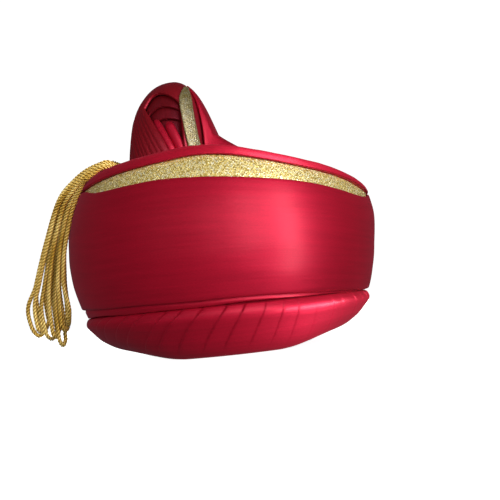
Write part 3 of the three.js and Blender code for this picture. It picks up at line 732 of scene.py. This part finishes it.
def hood_shell(layer, wall, columns, pleats, relief):
    """A dome of cloth with an arched opening in front, its columns spread round the back."""
    foot, top = layer["foot"], layer["top"]
    spring = mix(foot, top, ARCH_SPRING)
    tip = CREST_FOOT_Z + (CREST_TOP_Z - CREST_FOOT_Z) * layer["rise"]
    z = np.concatenate([
        np.linspace(CREST_FOOT_Z, foot - 0.4, 5),
        np.linspace(foot + 0.4, spring, 26),
        mix(spring, top, 1 - np.linspace(1, 0, 16)[1:] ** 2) - 0.02,
        [top + 0.05],
        mix(top, tip, 1 - np.linspace(1, 0, 12)[1:] ** 2) - 1e-6,
    ])[:, None]
    right, left = window(z, **layer)
    s = np.concatenate([[0, EDGE_STRIP], np.linspace(0, 1, columns)[1:-1], [1 - EDGE_STRIP, 1]])[None, :]
    near = np.minimum(s, 1 - s)
    calm = mix(eased(right, z), eased(left, z) + TAU, s)
    angle = mix(mix(right, left + TAU, s), calm, smooth(near, 0, 0.12))
    gathered = smooth(s, 0.55, 0.7)
    uneven = s + 0.005 * np.sin(41 * s) + 0.003 * np.sin(97 * s + 1)
    fine = np.abs(np.sin(math.pi * pleats * uneven)) ** 0.6 * (0.75 + 0.25 * np.sin(37 * s + 0.5))
    fade = 1 - 0.7 * smooth(z, mix(foot, top, 0.5), tip)
    lip = mix(smooth(near, 0, 0.02), smooth(near, 0, 0.2), smooth(z, top - 6, top))
    broad = 0.4 * np.sin(9 * angle + 0.05 * z) + 0.3 * np.sin(5 * angle - 0.09 * z)
    lift = (relief * fine * gathered + 0.5 * broad * (1 - gathered)) * fade * lip
    outer = crest_points(angle, z, lift, layer["scale"], layer["rise"])
    across = normals(outer, False)
    across[-1] = (0, 0, 1)
    inner = outer - wall * across
    edge = 0.5 * (outer + inner)
    clear = np.linalg.norm(outer[:, :1] - outer[:, -1:], axis=2, keepdims=True)
    lap = np.minimum(0.35 * wall, 0.4 * clear)
    right_rim = edge[:, :1] - lap * unit(outer[:, 1:2] - outer[:, :1])
    left_rim = edge[:, -1:] - lap * unit(outer[:, -2:-1] - outer[:, -1:])
    loop = np.concatenate([right_rim, outer, left_rim, inner[:, ::-1]], axis=1)
    return strip(loop.transpose(1, 0, 2))


def crest_hood():
    # The hood's satin is darkened as painted shade.
    return piece("hood", [hood_shell(HOOD, CREST_WALL, 300, 44, 1.3)], RED_SATIN_SHADED_CREST, "crest_hood")


def frames(path):
    """Unit vectors along a path and two across it that turn as little as they can."""
    along = unit(np.gradient(path, axis=0))
    across = [unit(np.cross(along[0], [0.3, 1, 0.2]))]
    for a in along[1:]:
        across.append(unit(across[-1] - a * np.dot(across[-1], a)))
    across = np.array(across)
    return along, across, np.cross(along, across)


def tube(path, radii, sides, flat=1.0, out=None):
    """A bar along a path whose radius changes, with closed ends and its seam on the side out."""
    along, a, b = frames(path)
    if out is not None:
        a = unit(out - along * np.sum(out * along, 1, keepdims=True))
        b = np.cross(along, a)
    turn = np.arange(sides) * TAU / sides
    offset = a[:, None] * np.cos(turn)[None, :, None] + flat * b[:, None] * np.sin(turn)[None, :, None]
    grid = path[:, None] + offset * radii[:, None, None]
    return strip(grid.transpose(1, 0, 2))


def crest_folds():
    shells = [
        hood_shell(OUTER_FOLD, CREST_FOLD_WALL, 160, 30, 0.5),
        hood_shell(INNER_FOLD, CREST_FOLD_WALL, 160, 26, 0.4),
    ]
    h = np.array([0, 0.2, 0.4, 0.55, 0.7, 0.8, 0.88, 0.94, 0.98, 0.999, 1 - 1e-8])[:, None]
    core_z = CREST_FOOT_Z + (CREST_TOP_Z - CREST_FOOT_Z) * CORE_RISE * h
    dome = crest_points(ring(64)[None, :], core_z, 0, CORE_SCALE, CORE_RISE)
    shells.append(strip(dome.transpose(1, 0, 2)))
    # The inner folds' satin is darkened as painted shade.
    return piece("inner_folds", shells, RED_SATIN_SHADED_FOLDS, "crest_folds")


def front_folds():
    shells = []
    body = np.linspace(0, 1 - FINGER_TIP, 22)
    tip = 1 - FINGER_TIP * np.cos(np.linspace(0.1, 1, 10) * math.pi / 2)
    t = np.concatenate([body, tip])
    past = ((t - (1 - FINGER_TIP)) / FINGER_TIP).clip(0, 1)
    cap = np.sqrt(np.maximum(1 - past**2, 1e-3))
    for top_x, top_z, foot_x, radius in FINGERS:
        z = mix(FINGER_FOOT_Z, top_z, t)
        x = mix(foot_x, top_x, t) + 0.6 * np.sin(4 * t)
        front = CREST_HALF_DEPTH * crest_share(z) * np.cos(crest_angle(x, z))
        proud = FINGER_PROUD * smooth(z, 154, 162)
        y = CREST_Y - front + CREST_WALL + FINGER_BACK + radius - proud + FINGER_SINK * t * t
        shells.append(tube(points(x, y, z), radius * (1.12 - 0.2 * t) * cap, 20, 0.8))
    return piece("front_folds", shells, RED, "crest_folds")


def crest_gold_strip():
    z = np.linspace(CREST_STRIP[0, 0], CREST_STRIP[-1, 0], 130)[None, :]
    middle = through(CREST_STRIP[:, 0], CREST_STRIP[:, 1], z)
    width = through(CREST_STRIP[:, 0], CREST_STRIP[:, 2], z)
    across, shift, depth, _ = hem_section(GOLD_WALL, 28, 6, 3)
    x = middle + (across - 0.5) * width + shift * (width > 4)
    relief = CREST_CRIMP_RELIEF * (depth < 0.01) * crimp(z * 1.2, x + ROW_OFFSET)
    grid = crest_points(crest_angle(x, z), z, GAP + GOLD_WALL - depth + relief)
    # The crest's lace is darkened as painted shade.
    return piece("crest_border", [strip(grid)], SHADED_CREST_LACE, "crest_gold_strip")


# The tassel


def bundle_line(place, spare, side, end, swing=0):
    """A cord's course between the bundle's inner and outer lines, from the head down to its end."""
    stops = np.arange(len(ROUTE), dtype=float)
    # s counts the rows of the route
    s = np.linspace(0, (len(ROUTE) - 1) * end, 120)
    inner_x, inner_z, outer_x, outer_z, depth, spread = (through(stops, line, s) for line in ROUTE.T)
    across = mix(place, spare, smooth(s, 2, 7)) + swing * smooth(s, 6, 7.4)
    y = depth + side * spread
    over_roll = smooth(s, 1, 2.2) - smooth(s, 3.4, 4.6)
    z = mix(inner_z, outer_z, across) - FRONT_CORD_DROP * np.clip(-side, 0, 1) * over_roll
    bulge = (z - BELLY_Z) ** 2 / (2 * BARREL_ARC) - CORD_RADIUS - GAP
    against_drum = -(HALF_WIDTH - bulge) * np.sqrt(1 - (y / (HALF_DEPTH - bulge)) ** 2)
    hugging = smooth(s, 1.5, 2.3) * (1 - smooth(s, 4.7, 6.2))
    x = mix(mix(inner_x, against_drum, hugging), outer_x, across)
    return points(x, y, z)


def evenly(path, step):
    """The same path with points a fixed step apart."""
    length = np.concatenate([[0], np.cumsum(np.linalg.norm(np.diff(path, axis=0), axis=1))])
    at = np.linspace(0, length[-1], int(length[-1] / step) + 1)
    return np.stack([through(length, path[:, k], at) for k in range(3)], -1)


def rope(path, phase):
    """Three plies twisted round a path."""
    path = evenly(path, CORD_PITCH / ROPE_STEPS)
    _, a, b = frames(path)
    turn = np.arange(len(path)) / ROPE_STEPS * TAU
    shells = []
    for ply in range(3):
        w = (turn + phase + ply * TAU / 3)[:, None]
        out = a * np.cos(w) + b * np.sin(w)
        shells.append(tube(path + PLY_OFFSET * out, np.full(len(path), PLY_RADIUS), PLY_SIDES, out=out))
    return shells


def loop_path(number, cord):
    """Down along one strand of a loop, through the bow at its foot and up along the other."""
    lines = [bundle_line(*strand) for strand in cord]
    for k, line in enumerate(lines):
        t = np.linspace(0, 1, len(line))[:, None]
        sway = CORD_SWAY * np.sin(TAU * (1.3 * t + 0.37 * number + 0.5 * k)) * t
        line += np.concatenate([0.5 * sway, sway, 0 * sway], 1)
    a, b = lines[0][-1], lines[1][-1]
    middle = 0.5 * (a + b)
    low = middle - np.array([0, 0, min(LOOP_SHARE * np.linalg.norm(a - b), LOOP_LIMIT)])
    t = np.linspace(0, 1, 14)[1:-1, None]
    bow = (1 - t) ** 2 * a + 2 * t * (1 - t) * (2 * low - middle) + t * t * b
    return np.concatenate([lines[0], bow, lines[1][::-1]])


def tassel():
    shells = []
    for number, cord in enumerate(CORDS):
        for places, faces, uv in rope(loop_path(number, cord), chance.uniform(0, TAU)):
            shells.append((places, faces, [[(u + TONE_SHIFT * number, v) for u, v in f] for f in uv]))
    centre = bundle_line(0.5, 0.5, 0, HEAD_SHARE)
    shells.append(tube(centre, np.full(len(centre), HEAD_RADIUS), 14, HEAD_FLAT))
    core = evenly(centre, WOUND_STEP)
    _, a, b = frames(core)
    w = (np.arange(len(a)) * WOUND_STEP / WOUND_PITCH * TAU)[:, None]
    wound = core + WOUND_WIDE * a * np.cos(w) + WOUND_DEEP * b * np.sin(w)
    shells.append(tube(wound, np.full(len(wound), WOUND_RADIUS), 6))
    return piece("cord_tassel", shells, CORD, "tassel")


band = outer_band()
fold = band_fold()
base = pleated_base()
border = gold_strip()
roll = rim_roll()
top = crown()
hood = crest_hood()
inner_folds = crest_folds()
rolled_folds = front_folds()
crest_border = crest_gold_strip()
cords = tassel()
# The satin beside the cords shows no mirror image of them
cords.visible_glossy = False


# Floor, light and camera


def flat_material(name, colour, glow):
    material, tree, bsdf = shader(name)
    grain = node(tree, "ShaderNodeTexNoise", Scale=6.0, Detail=2.0)
    tone = ramp(tree, grain.outputs["Fac"], (0.3, tuple(c * 0.985 for c in colour)), (0.7, colour))
    tree.links.new(tone, bsdf.inputs["Base Color"])
    bsdf.inputs["Roughness"].default_value = 0.9
    bsdf.inputs["Emission Color"].default_value = (1, 1, 1, 1)
    bsdf.inputs["Emission Strength"].default_value = glow
    return material


def backdrop():
    """A pale round floor that curves up into a wall all round, in metres."""
    t = np.linspace(0, math.pi / 2, 16)
    radius = np.concatenate([[0.02, 4], 5 + 2 * np.sin(t), [7]])[:, None]
    z = np.concatenate([[0, 0], 2 - 2 * np.cos(t), [9]])[:, None] - 0.0005
    turn = ring(64)[None, :]
    places, faces, _ = lattice(points(radius * np.sin(turn), -radius * np.cos(turn), z), wrap_rows=False)
    faces.append(list(range(64)))
    mesh = bpy.data.meshes.new("backdrop")
    mesh.from_pydata(places.tolist(), [], faces)
    mesh.polygons.foreach_set("use_smooth", np.ones(len(mesh.polygons), bool))
    mesh.materials.append(flat_material("pale_floor", (0.9, 0.9, 0.9), 0.95))
    made = bpy.data.objects.new("backdrop", mesh)
    made.visible_glossy = False
    made.visible_diffuse = False
    made.visible_shadow = False
    bpy.context.collection.objects.link(made)


def area_light(name, azimuth, height, distance, size, power, glossy=True, only=()):
    """A soft light that faces the turban, for all its pieces or only some."""
    light = bpy.data.lights.new(name, "AREA")
    light.shape = "RECTANGLE"
    light.size, light.size_y = size
    light.energy = power
    made = bpy.data.objects.new(name, light)
    a = math.radians(azimuth)
    place = Vector((AXIS[0] + distance * math.sin(a), -distance * math.cos(a), height))
    made.location = place
    made.rotation_mode = "QUATERNION"
    made.rotation_quaternion = (Vector((AXIS[0], 0, 0.1)) - place).to_track_quat("-Z", "Y")
    made.visible_glossy = glossy
    made.visible_camera = False
    if only:
        receivers = bpy.data.collections.new(name)
        for lit in only:
            receivers.objects.link(lit)
        made.light_linking.receiver_collection = receivers
    bpy.context.collection.objects.link(made)


backdrop()
# Each light's degrees to the right of the front, height, distance, panel and power. The base has a lower
# light in place of the key.
above_base = [band, fold, border, roll, top, hood, inner_folds, rolled_folds, crest_border, cords]
area_light("key", 50, 0.22, 1.7, (0.4, 1.6), 20.5, only=above_base)
area_light("window", 27, 0.5, 1.8, (1.0, 1.5), 12)
area_light("room", 10, 0.6, 2.0, (1.8, 1.5), 8)
area_light("table", 70, -0.2, 0.9, (0.9, 0.25), 14, only=[base])
area_light("glint", 32, 0.35, 1.5, (0.5, 0.6), 5, only=[border])
area_light("top", 60, 1.0, 0.9, (0.8, 0.8), 16, only=[roll])
area_light("above", -30, 1.2, 0.6, (0.4, 0.4), 5, only=[cords])
area_light("fill", -34, 0.8, 2.4, (1.8, 1.6), 34, glossy=False)
area_light("back", 180, 0.8, 2.4, (1.8, 1.6), 50, glossy=False)

world = bpy.data.worlds.new("studio")
world.use_nodes = True
world.node_tree.nodes["Background"].inputs["Color"].default_value = (1, 1, 1, 1)
world.node_tree.nodes["Background"].inputs["Strength"].default_value = 0.1
bpy.context.scene.world = world
bpy.context.scene.view_settings.view_transform = "Standard"

# The camera stands level with the fold's lower edge, close in front, and is rolled a little
FOCAL_PX, FRAME_PX, SENSOR = 917.6, 500, 36
EYE_DISTANCE, EYE_Z = 0.76, 0.037
AIM_RIGHT_PX, AIM_UP_PX, ROLLED = 27.4, 51.4, math.radians(6)
camera = bpy.data.cameras.new("camera")
camera.sensor_width = SENSOR
camera.lens = SENSOR * FOCAL_PX / FRAME_PX
camera.clip_start = 0.01
eye = bpy.data.objects.new("camera", camera)
ahead = Vector((AIM_RIGHT_PX / FOCAL_PX, 1, AIM_UP_PX / FOCAL_PX)).normalized()
right = ahead.cross(Vector((0, 0, 1))).normalized()
up = right.cross(ahead)
turned_right = right * math.cos(ROLLED) - up * math.sin(ROLLED)
turned_up = up * math.cos(ROLLED) + right * math.sin(ROLLED)
eye.matrix_world = Matrix.Translation((AXIS[0], AXIS[1] - EYE_DISTANCE, EYE_Z)) @ Matrix((
    (turned_right.x, turned_up.x, -ahead.x, 0),
    (turned_right.y, turned_up.y, -ahead.y, 0),
    (turned_right.z, turned_up.z, -ahead.z, 0),
    (0, 0, 0, 1),
))
bpy.context.collection.objects.link(eye)
bpy.context.scene.camera = eye
